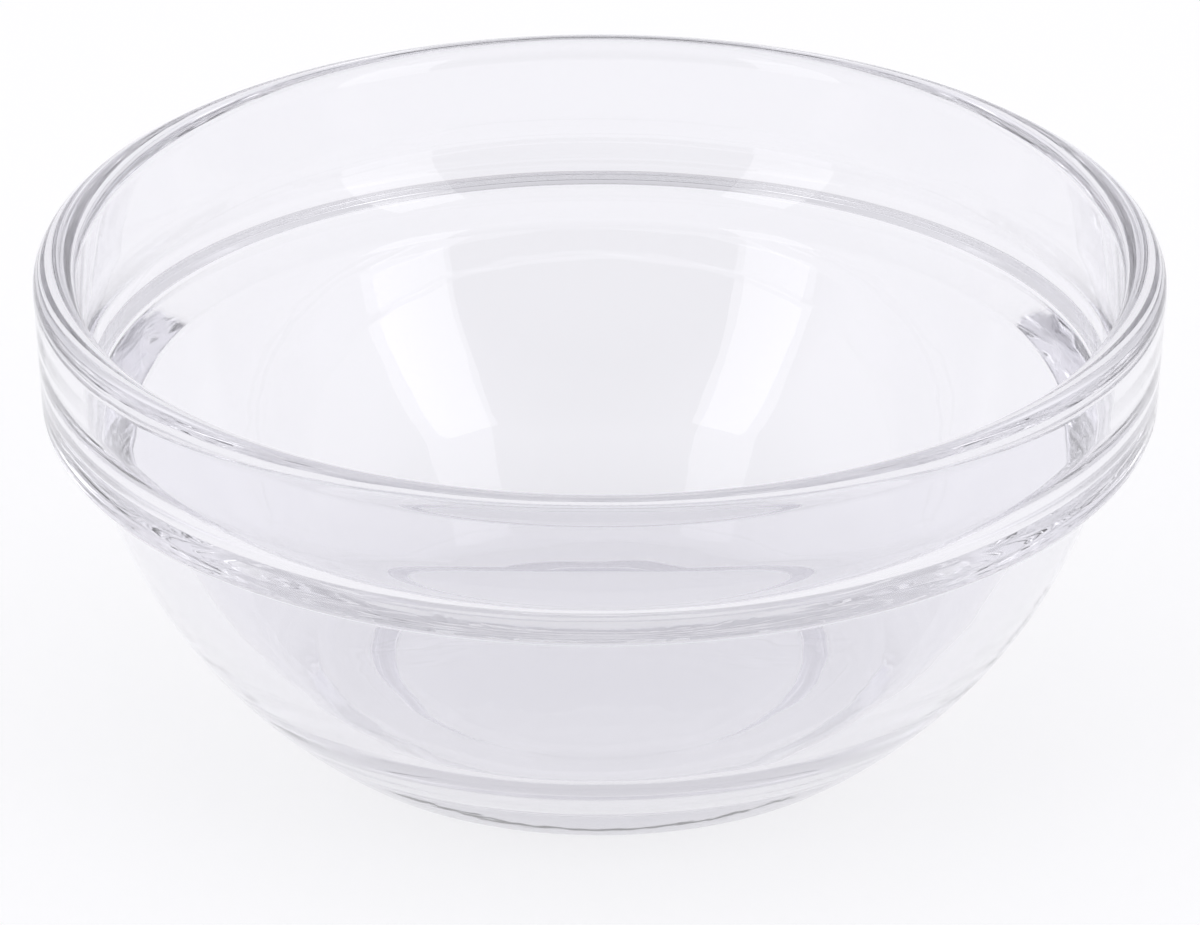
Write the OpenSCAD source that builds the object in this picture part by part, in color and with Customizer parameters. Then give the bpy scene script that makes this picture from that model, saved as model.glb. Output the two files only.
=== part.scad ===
// Stackable clear glass prep bowl, pressed as one piece of glass.
// Its section is one closed outline turned about the upright axis. Outside are a half-round rim, a collar that
// narrows a little downwards, a flat stacking shoulder under the collar, a bowed wall and a rounded foot with a
// recess under it. The inside follows the collar, sweeps over a soft ledge and runs down the wall to a flat floor.
// Millimetres, +Z up, origin on the table in the middle of the foot.

/* [Rim and collar] */
// Outside diameter, measured across the rim
rim_d = 120; // [100:1:140]
// Thickness of the glass at the rim, whose top is a half round
rim_t = 4.6; // [3.6:0.1:5.6]
// Height of the collar, from the top of the rim to the stacking shoulder
collar_h = 17; // [12:0.5:22]
// Lean of the collar's outside, in degrees, which narrows it downwards
collar_lean = 3; // [0:0.5:6]
// Round on the collar's lower edge
collar_edge_r = 2; // [0.6:0.1:2.4]

/* [Stacking shoulder] */
// Gap all round between the wall and the rim of the bowl that it is stacked in
stack_clear = 0.4; // [0.3:0.1:1.5]
// Round in the corner between the shoulder and the wall
shoulder_root_r = 0.5; // [0.3:0.1:1.2]

/* [Wall] */
// Overall height
bowl_h = 52.5; // [44:0.5:70]
// Thickness of the bowed wall
wall_t = 4.9; // [3:0.1:5.5]

/* [Inner ledge] */
// Lean of the collar's inside, in degrees, which narrows it downwards
inner_lean = 3; // [0:0.5:6]
// Depth below the top of the rim at which the collar's inside begins to sweep inwards
ledge_drop = 8; // [4:0.5:12]
// Radius of that sweep, between the collar's inside and the ledge
ledge_sweep_r = 13.5; // [6:0.5:16]
// Round that rolls from the ledge down onto the inside of the wall
ledge_edge_r = 2; // [1:0.5:8]

/* [Foot and floor] */
// Diameter at which the outside of the wall would meet the table if the foot had a sharp edge
foot_d = 64; // [60:1:76]
// Round between the wall and the foot
foot_edge_r = 5.2; // [2:0.1:8]
// Diameter of the recess under the floor, half way up its edge
recess_d = 48; // [30:1:50]
// Depth of that recess
recess_depth = 2.9; // [0.5:0.1:3.5]
// Radius of the two rounds that make the edge of the recess
recess_edge_r = 2.6; // [1.8:0.1:4]
// Height of the inside floor above the table
floor_h = 7.4; // [6:0.1:10]
// Round between the inside of the wall and the floor
floor_round_r = 18; // [8:1:24]

/* [Hidden] */
$fn = 180;
// How far a round runs past the surfaces that it blends into, so that they meet without a step
blend_overlap = 0.0003;

// Plane geometry in the section, where a point is [radius, height]
function along(angle) = [cos(angle), sin(angle)];
function unit(v) = v / norm(v);
// Radius at height z on the outer side of the circle about c
function outer_radius(c, r, z) = c[0] + sqrt(r * r - pow(z - c[1], 2));
// Point at distance ra from a and rb from b, on the right of the way from a to b
function meeting(a, ra, b, rb) =
  let (
    gap = norm(b - a),
    ahead = unit(b - a),
    right = [ahead[1], -ahead[0]],
    reach = (ra * ra - rb * rb + gap * gap) / (2 * gap)
  )
  a + reach * ahead + sqrt(ra * ra - reach * reach) * right;

// Rim: one round that touches the outside and the inside of the collar
rim_round_r = rim_t / 2;
rim_c = [rim_d / 2 - rim_round_r, bowl_h - rim_round_r];
collar_normal = along(-collar_lean);
rim_outer = rim_c + rim_round_r * collar_normal;
inner_normal = along(-inner_lean);
rim_inner = rim_c - rim_round_r * inner_normal;

// Lower edge of the collar, between the leaning outside and the flat shoulder
shoulder_z = bowl_h - collar_h;
collar_edge_z = shoulder_z + collar_edge_r;
collar_edge_reach = collar_normal * rim_outer - collar_edge_r - collar_normal[1] * collar_edge_z;
collar_edge_c = [collar_edge_reach / collar_normal[0], collar_edge_z];
collar_edge_outer = collar_edge_c + collar_edge_r * collar_normal;
collar_edge_lower = [collar_edge_c[0], shoulder_z];

// Outside of the wall: a zone of a ball about the axis, from the shoulder down to the table.
// Its top clears the inside of the rim below it in a stack.
wall_top = [rim_d / 2 - rim_t - stack_clear, shoulder_z];
wall_foot = [foot_d / 2, 0];
wall_c = [0, (wall_top * wall_top - wall_foot * wall_foot) / (2 * shoulder_z)];
wall_arc_r = norm(wall_top - wall_c);

// Round in the corner under the shoulder, which touches the shoulder and the wall
root_z = shoulder_z - shoulder_root_r;
root_c = [outer_radius(wall_c, wall_arc_r + shoulder_root_r, root_z), root_z];
root_wall = wall_c + wall_arc_r * unit(root_c - wall_c);
root_shoulder = [root_c[0], shoulder_z];

// Round of the foot, which touches the wall and the table
foot_edge_c = [outer_radius(wall_c, wall_arc_r - foot_edge_r, foot_edge_r), foot_edge_r];
foot_edge_wall = wall_c + wall_arc_r * unit(foot_edge_c - wall_c);
foot_edge_table = [foot_edge_c[0], 0];

// Recess under the floor: its edge is an S of two equal rounds
recess_edge_half_w = sqrt(4 * recess_edge_r * recess_depth - pow(recess_depth, 2)) / 2;
recess_edge_middle = [recess_d / 2, recess_depth / 2];
recess_edge_upper = [recess_d / 2 - recess_edge_half_w, recess_depth];
recess_edge_lower = [recess_d / 2 + recess_edge_half_w, 0];
recess_upper_c = recess_edge_upper - [0, recess_edge_r];
recess_lower_c = recess_edge_lower + [0, recess_edge_r];

// Inside of the wall: a ball about the same centre as the outside
inner_arc_r = wall_arc_r - wall_t;

// Inner ledge: the collar's inside sweeps inwards, then a second round rolls down onto the wall
ledge_sweep_z = bowl_h - ledge_drop;
ledge_sweep_reach = inner_normal * rim_inner - ledge_sweep_r - inner_normal[1] * ledge_sweep_z;
ledge_sweep_c = [ledge_sweep_reach / inner_normal[0], ledge_sweep_z];
ledge_edge_c = meeting(wall_c, inner_arc_r + ledge_edge_r, ledge_sweep_c, ledge_sweep_r + ledge_edge_r);
ledge_collar = ledge_sweep_c + ledge_sweep_r * inner_normal;
ledge_middle = ledge_sweep_c + ledge_sweep_r * unit(ledge_edge_c - ledge_sweep_c);
ledge_wall = wall_c + inner_arc_r * unit(ledge_edge_c - wall_c);
// The collar's inside runs on past the rim's round, as far as half the round's radius
collar_inside_end = rim_inner + rim_round_r / 2 * unit(rim_inner - ledge_collar);

// Round between the inside of the wall and the floor
floor_round_z = floor_h + floor_round_r;
floor_round_c = [outer_radius(wall_c, inner_arc_r - floor_round_r, floor_round_z), floor_round_z];
floor_wall = wall_c + inner_arc_r * unit(floor_round_c - wall_c);
floor_edge = [floor_round_c[0], floor_h];

// One round of the section, which runs a hair past the surfaces that it blends into
module blended_round(centre, radius) {
  translate(centre) circle(radius + blend_overlap);
}

// Outer edge of a circle between two directions from its centre, as deep as told or a little more
module arc_zone(centre, radius, depth, towards_one, towards_other) {
  reach = 2 * radius;
  inner_r = radius - depth;
  one = unit(towards_one);
  other = unit(towards_other);
  middle = unit(one + other);
  intersection() {
    translate(centre) circle(radius);
    polygon([
      centre + inner_r * one,
      centre + reach * one,
      centre + reach * middle,
      centre + reach * other,
      centre + inner_r * other
    ]);
  }
}

// Section of the outside, filled in to the axis: chords between the points where the arcs meet, then the arcs
module outside_section() {
  difference() {
    union() {
      polygon([
        [0, recess_depth],
        recess_edge_upper,
        recess_edge_middle,
        recess_edge_lower,
        foot_edge_table,
        foot_edge_wall,
        root_wall,
        root_shoulder,
        collar_edge_lower,
        collar_edge_outer,
        rim_outer,
        rim_inner,
        [0, rim_inner[1]]
      ]);
      arc_zone(wall_c, wall_arc_r, wall_t, foot_edge_wall - wall_c, root_wall - wall_c);
      blended_round(recess_lower_c, recess_edge_r);
      blended_round(foot_edge_c, foot_edge_r);
      blended_round(collar_edge_c, collar_edge_r);
      blended_round(rim_c, rim_round_r);
    }
    blended_round(recess_upper_c, recess_edge_r);
    blended_round(root_c, shoulder_root_r);
  }
}

// Section of the hollow, from the floor to above the rim, made in the same way
module hollow_section() {
  difference() {
    union() {
      polygon([
        [0, floor_h],
        floor_edge,
        floor_wall,
        ledge_wall,
        ledge_middle,
        ledge_collar,
        collar_inside_end,
        [0, bowl_h]
      ]);
      blended_round(floor_round_c, floor_round_r);
      arc_zone(wall_c, inner_arc_r, wall_t, floor_wall - wall_c, ledge_wall - wall_c);
      blended_round(ledge_sweep_c, ledge_sweep_r);
    }
    blended_round(ledge_edge_c, ledge_edge_r);
  }
}

// The whole bowl, one piece of clear glass
module glass_bowl() {
  color([0.89, 0.89, 0.92, 0.5])
    rotate_extrude()
      difference() {
        outside_section();
        hollow_section();
      }
}

glass_bowl();
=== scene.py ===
"""Clear pressed-glass prep bowl on a pale table, from the photograph's angle.

Sizes of the section are in millimetres, as in the part's source. The scene is in metres.
"""

import math

import bpy
import numpy as np
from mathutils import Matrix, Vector


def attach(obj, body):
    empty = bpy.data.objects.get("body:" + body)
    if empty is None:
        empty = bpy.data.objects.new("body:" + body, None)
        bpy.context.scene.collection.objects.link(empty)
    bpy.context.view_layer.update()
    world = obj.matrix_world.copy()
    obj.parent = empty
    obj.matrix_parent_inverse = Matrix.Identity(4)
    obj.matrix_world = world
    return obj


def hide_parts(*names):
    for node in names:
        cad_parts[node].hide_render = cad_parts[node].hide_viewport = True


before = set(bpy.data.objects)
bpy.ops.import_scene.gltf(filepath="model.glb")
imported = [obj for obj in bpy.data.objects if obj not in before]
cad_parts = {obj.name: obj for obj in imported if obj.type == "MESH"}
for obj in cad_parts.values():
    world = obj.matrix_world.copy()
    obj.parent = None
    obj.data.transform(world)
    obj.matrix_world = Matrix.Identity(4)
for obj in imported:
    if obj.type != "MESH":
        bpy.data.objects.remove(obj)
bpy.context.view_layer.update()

MM = 0.001

# Sizes of the section, as in the part's source
RIM_D = 120.0
RIM_T = 4.6
COLLAR_H = 17.0
COLLAR_LEAN = 3.0
COLLAR_EDGE_R = 2.0
STACK_CLEAR = 0.4
SHOULDER_ROOT_R = 0.5
BOWL_H = 52.5
WALL_T = 4.9
INNER_LEAN = 3.0
LEDGE_DROP = 8.0
LEDGE_SWEEP_R = 13.5
LEDGE_EDGE_R = 2.0
FOOT_D = 64.0
FOOT_EDGE_R = 5.2
RECESS_D = 48.0
RECESS_DEPTH = 2.9
RECESS_EDGE_R = 2.6
FLOOR_H = 7.4
FLOOR_ROUND_R = 18.0

# How finely the section and the turn are drawn
STEPS_ROUND = 380
STEP_PLAIN = 1.4
STEP_BEND = 0.5
STEP_TIGHT = 0.2
LEAST_BEND_STEPS = 4
AXIS_RING = 1.5

# Waves that pressing leaves in the glass: waves round, radians per millimetre along the section, height, phase
WAVES = (
    (5, 0.05, 0.010, 0.3),
    (11, -0.11, 0.006, 1.9),
    (23, 0.23, 0.0030, 4.1),
    (37, -0.31, 0.0018, 2.6),
    (61, 0.47, 0.0008, 5.2),
)
# They grow from nothing above this height, over this height and over this radius, so that the bowl stands flat
WAVES_FROM_Z = 1.5
WAVES_GROW_Z = 3.0
WAVES_GROW_R = 12.0

# Glass: tint of one wall, and what its depth absorbs
GLASS_TINT = (0.928, 0.924, 0.948, 1)
GLASS_IOR = 1.52
DEPTH_TINT = (0.9, 0.897, 0.91, 1)
DEPTH_DENSITY = 10.0

# Skin of the glass: noise in features per metre, flattened in height
NOISE_DETAIL = 1
HAZE_SCALE = 120
HAZE_FLATTEN = 2
HAZE_FROM = 0.45
HAZE_FULL = 0.75
HAZE_ROUGHNESS = 0.03
RIPPLE_SCALE = 70
RIPPLE_FLATTEN = 3
RIPPLE_STRENGTH = 0.2
RIPPLE_DEPTH = 0.12

# Table, in metres but for the gap under the foot
TABLE_HALF = 4.0
TABLE_GAP = 0.2
TABLE_COLOR = (0.35, 0.35, 0.35, 1)
TABLE_ROUGHNESS = 0.9
TABLE_GLOW_TINT = (0.985, 0.983, 1.0, 1)
TABLE_GLOW = 0.73

# Brightness of the room along three directions: from, to, brightness at either end
ROOM_TINT = (0.965, 0.96, 1.0, 1)
ROOM_UP = (0.35, 1.0, 0.76, 0.80)
ROOM_BACK = (-0.80, -0.45, 0.08, 1.0)
ROOM_SIDE = (0.55, 0.8, 1.0, 1.4)

# Lamps, in metres: name, degrees round from the camera's side, width
LAMPS = (
    ("softbox_left", -44.5, 0.34),
    ("softbox_right", 49, 0.39),
)
LAMP_REACH = 1.0
LAMP_HEIGHT = 1.2
LAMP_GLOW = 1.25

# The photograph's camera, fitted to the bowl's outline: degrees above the rim, metres from it, pixels
CAMERA_TILT = 24.92
CAMERA_REACH = 1.2
FOCAL_PX = 11346.0
IMAGE_WIDTH_PX = 1200
IMAGE_HEIGHT_PX = 925
RIM_ROW_PX = 256.5
SENSOR_WIDTH = 36
CAMERA_CLIP_END = 50

# Light that is caught in the glass bounces often
BOUNCES = 64


def point(r, z):
    return Vector((r, z))


def along(angle):
    return Vector((math.cos(math.radians(angle)), math.sin(math.radians(angle))))


def angle_of(v):
    return math.degrees(math.atan2(v.y, v.x))


def outer_radius(centre, radius, z):
    """Radius at height z on the outer side of a circle."""
    return centre.x + math.sqrt(radius * radius - (z - centre.y) ** 2)


def meeting(a, reach_a, b, reach_b):
    """Point at the given distances from a and b, on the right of the way from a to b."""
    gap = (b - a).length
    ahead = (b - a) / gap
    share = (reach_a**2 - reach_b**2 + gap**2) / (2 * gap)
    return a + share * ahead + math.sqrt(reach_a**2 - share**2) * point(ahead.y, -ahead.x)


def straight(a, b, step):
    """Points from a to b, each with the direction out of the glass, which is on the right of the way."""
    ahead = (b - a).normalized()
    count = max(1, math.ceil((b - a).length / step))
    return [(a.lerp(b, k / count), point(ahead.y, -ahead.x)) for k in range(count + 1)]


def bend(centre, a, b, step):
    """Points on the arc from a to b, the short way round, each with the direction out of the glass."""
    start = angle_of(a - centre)
    turn = (angle_of(b - centre) - start + 180) % 360 - 180
    radius = (a - centre).length
    count = max(LEAST_BEND_STEPS, math.ceil(math.radians(abs(turn)) * radius / step))
    spokes = [along(start + turn * k / count) for k in range(count + 1)]
    return [(centre + radius * spoke, math.copysign(1, turn) * spoke) for spoke in spokes]


def wall_ball():
    """Centre and radius of the ball that the outside of the wall is a zone of."""
    shoulder_z = BOWL_H - COLLAR_H
    top = point(RIM_D / 2 - RIM_T - STACK_CLEAR, shoulder_z)
    foot = point(FOOT_D / 2, 0)
    centre = point(0, (top.length_squared - foot.length_squared) / (2 * shoulder_z))
    return centre, (top - centre).length


def rim_circle():
    """Centre and radius of the rim's round."""
    radius = RIM_T / 2
    return point(RIM_D / 2 - radius, BOWL_H - radius), radius


def underside(wall_c, wall_r):
    """Runs from the axis under the floor to the round of the foot, and the point where that meets the wall."""
    recess_half = math.sqrt(4 * RECESS_EDGE_R * RECESS_DEPTH - RECESS_DEPTH**2) / 2
    recess_middle = point(RECESS_D / 2, RECESS_DEPTH / 2)
    recess_upper = point(RECESS_D / 2 - recess_half, RECESS_DEPTH)
    recess_lower = point(RECESS_D / 2 + recess_half, 0)
    foot_c = point(outer_radius(wall_c, wall_r - FOOT_EDGE_R, FOOT_EDGE_R), FOOT_EDGE_R)
    foot_wall = wall_c + wall_r * (foot_c - wall_c).normalized()
    foot_table = point(foot_c.x, 0)
    runs = [
        straight(point(AXIS_RING, RECESS_DEPTH), recess_upper, STEP_PLAIN),
        bend(recess_upper - point(0, RECESS_EDGE_R), recess_upper, recess_middle, STEP_TIGHT),
        bend(recess_lower + point(0, RECESS_EDGE_R), recess_middle, recess_lower, STEP_TIGHT),
        straight(recess_lower, foot_table, STEP_PLAIN),
        bend(foot_c, foot_table, foot_wall, STEP_BEND),
    ]
    return runs, foot_wall


def outside(wall_c, wall_r, foot_wall):
    """Runs from the foot up the wall, over the stacking shoulder and the collar to the top of the rim."""
    rim_c, rim_r = rim_circle()
    collar_normal = along(-COLLAR_LEAN)
    rim_outer = rim_c + rim_r * collar_normal
    shoulder_z = BOWL_H - COLLAR_H
    edge_z = shoulder_z + COLLAR_EDGE_R
    edge_reach = collar_normal.dot(rim_outer) - COLLAR_EDGE_R - collar_normal.y * edge_z
    edge_c = point(edge_reach / collar_normal.x, edge_z)
    edge_outer = edge_c + COLLAR_EDGE_R * collar_normal
    edge_lower = point(edge_c.x, shoulder_z)
    root_z = shoulder_z - SHOULDER_ROOT_R
    root_c = point(outer_radius(wall_c, wall_r + SHOULDER_ROOT_R, root_z), root_z)
    root_wall = wall_c + wall_r * (root_c - wall_c).normalized()
    root_shoulder = point(root_c.x, shoulder_z)
    return [
        bend(wall_c, foot_wall, root_wall, STEP_PLAIN),
        bend(root_c, root_wall, root_shoulder, STEP_TIGHT),
        straight(root_shoulder, edge_lower, STEP_BEND),
        bend(edge_c, edge_lower, edge_outer, STEP_TIGHT),
        straight(edge_outer, rim_outer, STEP_PLAIN),
        bend(rim_c, rim_outer, point(rim_c.x, BOWL_H), STEP_TIGHT),
    ]


def inside(wall_c, wall_r):
    """Runs from the top of the rim down the collar's inside, the ledge and the wall to the axis on the floor."""
    rim_c, rim_r = rim_circle()
    inner_r = wall_r - WALL_T
    inner_normal = along(-INNER_LEAN)
    rim_inner = rim_c - rim_r * inner_normal
    sweep_z = BOWL_H - LEDGE_DROP
    sweep_reach = inner_normal.dot(rim_inner) - LEDGE_SWEEP_R - inner_normal.y * sweep_z
    sweep_c = point(sweep_reach / inner_normal.x, sweep_z)
    ledge_c = meeting(wall_c, inner_r + LEDGE_EDGE_R, sweep_c, LEDGE_SWEEP_R + LEDGE_EDGE_R)
    ledge_collar = sweep_c + LEDGE_SWEEP_R * inner_normal
    ledge_middle = sweep_c + LEDGE_SWEEP_R * (ledge_c - sweep_c).normalized()
    ledge_wall = wall_c + inner_r * (ledge_c - wall_c).normalized()
    floor_z = FLOOR_H + FLOOR_ROUND_R
    floor_c = point(outer_radius(wall_c, inner_r - FLOOR_ROUND_R, floor_z), floor_z)
    floor_wall = wall_c + inner_r * (floor_c - wall_c).normalized()
    floor_edge = point(floor_c.x, FLOOR_H)
    return [
        bend(rim_c, point(rim_c.x, BOWL_H), rim_inner, STEP_TIGHT),
        straight(rim_inner, ledge_collar, STEP_PLAIN),
        bend(sweep_c, ledge_collar, ledge_middle, STEP_BEND),
        bend(ledge_c, ledge_middle, ledge_wall, STEP_TIGHT),
        bend(wall_c, ledge_wall, floor_wall, STEP_PLAIN),
        bend(floor_c, floor_wall, floor_edge, STEP_BEND),
        straight(floor_edge, point(AXIS_RING, FLOOR_H), STEP_PLAIN),
    ]


def section():
    """Outline of the glass from under the floor, out over the rim and back inside, with its directions out."""
    wall_c, wall_r = wall_ball()
    runs, foot_wall = underside(wall_c, wall_r)
    runs += outside(wall_c, wall_r, foot_wall) + inside(wall_c, wall_r)
    # Where two runs meet, their common point is kept once
    joined = runs[0] + [pair for run in runs[1:] for pair in run[1:]]
    return np.array([p for p, out in joined]), np.array([out for p, out in joined])


def waves(angle, run):
    """How far the glass lies inside its true surface, below zero, and the slopes round and along the section."""
    height, slope_round, slope_along = 0.0, 0.0, 0.0
    for count, per_mm, size, phase in WAVES:
        turn = count * angle + per_mm * run + phase
        height = height + size * (np.sin(turn) - 1)
        slope_round = slope_round + size * count * np.cos(turn)
        slope_along = slope_along + size * per_mm * np.cos(turn)
    return height, slope_round, slope_along


def wavy_surface(ring, out):
    """Places on the turned section, in metres, and the directions out of the glass, both with the waves."""
    run = np.concatenate(([0.0], np.cumsum(np.linalg.norm(np.diff(ring, axis=0), axis=1))))
    angle = np.arange(STEPS_ROUND)[:, None] * 2 * np.pi / STEPS_ROUND
    cos, sin = np.cos(angle), np.sin(angle)
    dip, slope_round, slope_along = waves(angle, run)
    share_z = np.clip((ring[:, 1] - WAVES_FROM_Z) / WAVES_GROW_Z, 0, 1)
    share = share_z * np.clip(ring[:, 0] / WAVES_GROW_R, 0, 1)
    r = ring[:, 0] + out[:, 0] * dip * share
    z = ring[:, 1] + out[:, 1] * dip * share
    places = np.stack([r * cos, r * sin, z], axis=-1).reshape(-1, 3) * MM
    # The direction out of the glass leans with the slopes of the waves
    lean_along = slope_along * share
    lean_round = slope_round * share / ring[:, 0]
    out_r = out[:, 0] + out[:, 1] * lean_along
    out_x = out_r * cos + lean_round * sin
    out_y = out_r * sin - lean_round * cos
    out_z = out[:, 1] - out[:, 0] * lean_along
    normals = np.stack([out_x, out_y, out_z], axis=-1).reshape(-1, 3)
    return places, normals / np.linalg.norm(normals, axis=1, keepdims=True)


def bowl_mesh():
    """The section turned about the axis, with the slight waves of pressed glass."""
    ring, out = section()
    places, normals = wavy_surface(ring, out)
    count = len(ring)
    # The middles under the floor and on it come first
    middles = [(0, 0, ring[0, 1] * MM), (0, 0, ring[-1, 1] * MM)]
    faces = []
    for s in range(STEPS_ROUND):
        a = len(middles) + s * count
        b = len(middles) + (s + 1) % STEPS_ROUND * count
        faces.append((0, b, a))
        faces.append((1, a + count - 1, b + count - 1))
        faces.extend((a + i, b + i, b + i + 1, a + i + 1) for i in range(count - 1))
    mesh = bpy.data.meshes.new("glass_bowl_detail")
    mesh.from_pydata(middles + places.tolist(), [], faces)
    mesh.polygons.foreach_set("use_smooth", [True] * len(mesh.polygons))
    mesh.normals_split_custom_set_from_vertices([(0, 0, -1), (0, 0, 1)] + normals.tolist())
    mesh.update()
    return mesh


def flattened_noise(nodes, links, scale, flatten):
    """Noise in the bowl's own space, flattened in height so that it is drawn out round the bowl."""
    place = nodes.new("ShaderNodeTexCoord")
    shape = nodes.new("ShaderNodeMapping")
    shape.inputs["Scale"].default_value = (1, 1, flatten)
    noise = nodes.new("ShaderNodeTexNoise")
    noise.inputs["Scale"].default_value = scale
    noise.inputs["Detail"].default_value = NOISE_DETAIL
    links.new(place.outputs["Object"], shape.inputs["Vector"])
    links.new(shape.outputs["Vector"], noise.inputs["Vector"])
    return noise.outputs["Fac"]


def ramp(nodes, links, source, low, high, at_low, at_high):
    """The source's span from low to high, mapped to the two given values and held beyond them."""
    span = nodes.new("ShaderNodeMapRange")
    span.inputs["From Min"].default_value = low
    span.inputs["From Max"].default_value = high
    span.inputs["To Min"].default_value = at_low
    span.inputs["To Max"].default_value = at_high
    links.new(source, span.inputs["Value"])
    return span.outputs["Result"]


def glass_material():
    """Clear soda-lime glass with a fire-polished skin: ripples from the mould and a trace of haze."""
    mat = bpy.data.materials.new("clear_glass")
    mat.use_nodes = True
    nodes, links = mat.node_tree.nodes, mat.node_tree.links
    shader = nodes["Principled BSDF"]
    shader.inputs["Base Color"].default_value = GLASS_TINT
    shader.inputs["Transmission Weight"].default_value = 1.0
    shader.inputs["IOR"].default_value = GLASS_IOR
    haze = flattened_noise(nodes, links, HAZE_SCALE, HAZE_FLATTEN)
    roughness = ramp(nodes, links, haze, HAZE_FROM, HAZE_FULL, 0.0, HAZE_ROUGHNESS)
    links.new(roughness, shader.inputs["Roughness"])
    ripple = nodes.new("ShaderNodeBump")
    ripple.inputs["Strength"].default_value = RIPPLE_STRENGTH
    ripple.inputs["Distance"].default_value = RIPPLE_DEPTH * MM
    links.new(flattened_noise(nodes, links, RIPPLE_SCALE, RIPPLE_FLATTEN), ripple.inputs["Height"])
    links.new(ripple.outputs["Normal"], shader.inputs["Normal"])
    volume = nodes.new("ShaderNodeVolumeAbsorption")
    volume.inputs["Color"].default_value = DEPTH_TINT
    volume.inputs["Density"].default_value = DEPTH_DENSITY
    links.new(volume.outputs["Volume"], nodes["Material Output"].inputs["Volume"])
    return mat


def floor():
    """Plain milky table, lit from below, a hair under the foot so that its face and the glass don't coincide."""
    half, z = TABLE_HALF, -TABLE_GAP * MM
    mesh = bpy.data.meshes.new("table")
    mesh.from_pydata([(-half, -half, z), (half, -half, z), (half, half, z), (-half, half, z)], [], [(0, 1, 2, 3)])
    ob = bpy.data.objects.new("table", mesh)
    bpy.context.collection.objects.link(ob)
    mat = bpy.data.materials.new("table")
    mat.use_nodes = True
    shader = mat.node_tree.nodes["Principled BSDF"]
    shader.inputs["Base Color"].default_value = TABLE_COLOR
    shader.inputs["Roughness"].default_value = TABLE_ROUGHNESS
    shader.inputs["Specular IOR Level"].default_value = 0.0
    shader.inputs["Emission Color"].default_value = TABLE_GLOW_TINT
    shader.inputs["Emission Strength"].default_value = TABLE_GLOW
    mesh.materials.append(mat)


def studio():
    """Pale room, brighter at both sides and dim on the camera's side, which draws the rim."""
    world = bpy.data.worlds.new("studio")
    world.use_nodes = True
    nodes, links = world.node_tree.nodes, world.node_tree.links
    place = nodes.new("ShaderNodeTexCoord")
    split = nodes.new("ShaderNodeSeparateXYZ")
    links.new(place.outputs["Generated"], split.inputs["Vector"])
    side = nodes.new("ShaderNodeMath")
    side.operation = "ABSOLUTE"
    links.new(split.outputs["X"], side.inputs[0])
    level = ramp(nodes, links, split.outputs["Z"], *ROOM_UP)
    for source, span in ((split.outputs["Y"], ROOM_BACK), (side.outputs["Value"], ROOM_SIDE)):
        product = nodes.new("ShaderNodeMath")
        product.operation = "MULTIPLY"
        links.new(ramp(nodes, links, source, *span), product.inputs[0])
        links.new(level, product.inputs[1])
        level = product.outputs["Value"]
    back = nodes["Background"]
    back.inputs["Color"].default_value = ROOM_TINT
    links.new(level, back.inputs["Strength"])
    bpy.context.scene.world = world


def softbox(name, turn, width):
    """Upright softbox that stands on the table and faces the bowl, so many degrees round from the camera's side."""
    angle = math.radians(turn)
    light = bpy.data.lights.new(name, "AREA")
    light.shape = "RECTANGLE"
    light.size, light.size_y = width, LAMP_HEIGHT
    light.energy = LAMP_GLOW * math.pi * width * LAMP_HEIGHT
    ob = bpy.data.objects.new(name, light)
    ob.location = (LAMP_REACH * math.sin(angle), -LAMP_REACH * math.cos(angle), LAMP_HEIGHT / 2)
    ob.rotation_euler = (math.pi / 2, 0, angle)
    bpy.context.collection.objects.link(ob)


def camera():
    """The photograph's camera, far away and narrow."""
    tilt = math.radians(CAMERA_TILT)
    cam = bpy.data.cameras.new("photo_camera")
    cam.sensor_width = SENSOR_WIDTH
    cam.lens = FOCAL_PX / IMAGE_WIDTH_PX * cam.sensor_width
    cam.clip_end = CAMERA_CLIP_END
    ob = bpy.data.objects.new("photo_camera", cam)
    ob.location = (0, -CAMERA_REACH * math.cos(tilt), BOWL_H * MM + CAMERA_REACH * math.sin(tilt))
    pitch = tilt + math.atan((IMAGE_HEIGHT_PX / 2 - RIM_ROW_PX) / FOCAL_PX)
    ob.rotation_euler = (math.pi / 2 - pitch, 0, 0)
    bpy.context.collection.objects.link(ob)
    bpy.context.scene.camera = ob


bowl = bpy.data.objects.new("glass_bowl_detail", bowl_mesh())
bpy.context.collection.objects.link(bowl)
bowl.data.materials.append(glass_material())
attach(bowl, "root")
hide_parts("glass_bowl")

floor()
studio()
for lamp in LAMPS:
    softbox(*lamp)
camera()
scene = bpy.context.scene
scene.view_settings.view_transform = "Standard"
scene.cycles.max_bounces = BOUNCES
scene.cycles.transmission_bounces = BOUNCES
scene.cycles.glossy_bounces = BOUNCES
